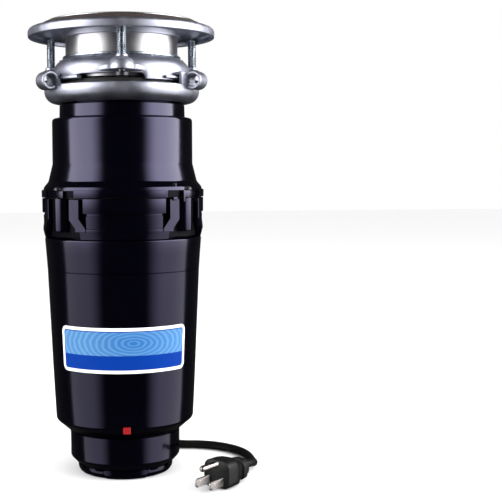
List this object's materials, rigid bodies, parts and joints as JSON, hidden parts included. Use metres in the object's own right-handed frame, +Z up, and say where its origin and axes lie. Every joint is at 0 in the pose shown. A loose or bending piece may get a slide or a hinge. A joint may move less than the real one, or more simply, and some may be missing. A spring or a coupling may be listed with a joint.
{
  "type": "kitchen garbage disposal",
  "caption": "Upright food waste disposer with a sink flange, locking mount ring, grinding chamber, motor, reset button and corded plug.",
  "frame": {"origin": "centre of the bottom cap's foot ring, on the vertical axis, in the plane it stands on", "axes": "+Z up along the shaft towards the sink; the label and the reset button face -Y"},
  "size_m": [0.174, 0.2506, 0.3495],
  "materials": {
    "black_plastic": "glossy moulded black with a faint blue cast",
    "satin_metal": "satin cast and pressed metal",
    "zinc_steel": "bright zinc plated steel",
    "stainless": "polished stainless steel",
    "black_rubber": "matte black rubber",
    "fibre": "dark brown compressed fibre",
    "label_print": "printed blue and white label film",
    "red_plastic": "glossy red",
    "dark_steel": "dark plated steel",
    "copper": "enamelled and bare copper",
    "plug_brass": "bright nickel brass",
    "ferrite": "dull dark ferrite",
    "phenolic": "brown phenolic board",
    "carbon": "dull carbon"
  },
  "bodies": {
    "housing": {"bottom_cap": "black_plastic", "lower_housing": "black_plastic", "upper_housing": "black_plastic", "inlet_plug": "black_plastic", "drain_bowl": "black_plastic", "housing_seal": "black_rubber", "shaft_seal": "black_rubber", "mounting_gasket": "black_rubber", "cord_gland": "black_rubber", "cord_lead_in": "black_rubber", "cord_coil": "black_rubber", "cord_run": "black_rubber", "plug_body": "black_rubber", "housing_screw_1": "zinc_steel", "housing_screw_2": "zinc_steel", "housing_screw_3": "zinc_steel", "snap_ring": "zinc_steel", "brush_spring_1": "zinc_steel", "brush_spring_2": "zinc_steel", "label_plate": "label_print", "overload_breaker": "carbon", "brush_1": "carbon", "brush_2": "carbon", "hopper_liner": "stainless", "upper_bearing": "stainless", "lower_bearing": "stainless", "sink_flange": "stainless", "grind_ring": "dark_steel", "motor_can": "dark_steel", "upper_end_bell": "satin_metal", "lower_end_bell": "satin_metal", "backup_flange": "satin_metal", "upper_mounting_ring": "satin_metal", "magnet_1": "ferrite", "magnet_2": "ferrite", "brush_plate": "phenolic", "fibre_gasket": "fibre", "plug_blade_1": "plug_brass", "plug_blade_2": "plug_brass", "ground_pin": "plug_brass"},
    "rotor": {"turntable": "stainless", "turntable_nut": "zinc_steel", "shaft": "zinc_steel", "armature_core": "dark_steel", "winding_upper": "copper", "winding_lower": "copper", "commutator": "copper", "impeller_pin_1": "zinc_steel", "impeller_pin_2": "zinc_steel"},
    "impeller_1": {"impeller_1": "stainless"},
    "impeller_2": {"impeller_2": "stainless"},
    "lower_ring": {"lower_mounting_ring": "satin_metal"},
    "reset": {"reset_button": "red_plastic"},
    "splash": {"splash_guard": "black_rubber"},
    "stopper": {"stopper_cap": "stainless", "stopper_gasket": "black_rubber"},
    "screw_1": {"mounting_screw_1": "zinc_steel"},
    "screw_2": {"mounting_screw_2": "zinc_steel"},
    "screw_3": {"mounting_screw_3": "zinc_steel"}
  },
  "joints": [
    {"name": "rotor_spin", "type": "hinge", "parent": "housing", "child": "rotor", "pos_m": [0, 0, 0.2], "axis": [0, 0, 1], "continuous": true},
    {"name": "impeller_1_swing", "type": "hinge", "parent": "rotor", "child": "impeller_1", "pos_m": [0.027, 0, 0.208], "axis": [0, 0, 1], "continuous": true},
    {"name": "impeller_2_swing", "type": "hinge", "parent": "rotor", "child": "impeller_2", "pos_m": [-0.027, 0, 0.208], "axis": [0, 0, 1], "continuous": true},
    {"name": "lower_ring_turn", "type": "hinge", "parent": "housing", "child": "lower_ring", "pos_m": [0, 0, 0.29], "axis": [0, 0, 1], "range_deg": [0, 38]},
    {"name": "reset_press", "type": "slide", "parent": "housing", "child": "reset", "axis": [0, 1, 0], "range_m": [0, 0.0025], "stiffness_N_per_m": 200},
    {"name": "splash_guard_lift", "type": "slide", "parent": "housing", "child": "splash", "axis": [0, 0, 1], "range_m": [0, 0.045]},
    {"name": "stopper_lift", "type": "slide", "parent": "splash", "child": "stopper", "axis": [0, 0, 1], "range_m": [0, 0.06]},
    {"name": "mounting_screw_1_advance", "type": "slide", "parent": "housing", "child": "screw_1", "axis": [0, 0, 1], "range_m": [-0.008, 0]},
    {"name": "mounting_screw_2_advance", "type": "slide", "parent": "housing", "child": "screw_2", "axis": [0, 0, 1], "range_m": [-0.008, 0]},
    {"name": "mounting_screw_3_advance", "type": "slide", "parent": "housing", "child": "screw_3", "axis": [0, 0, 1], "range_m": [-0.008, 0]}
  ]
}
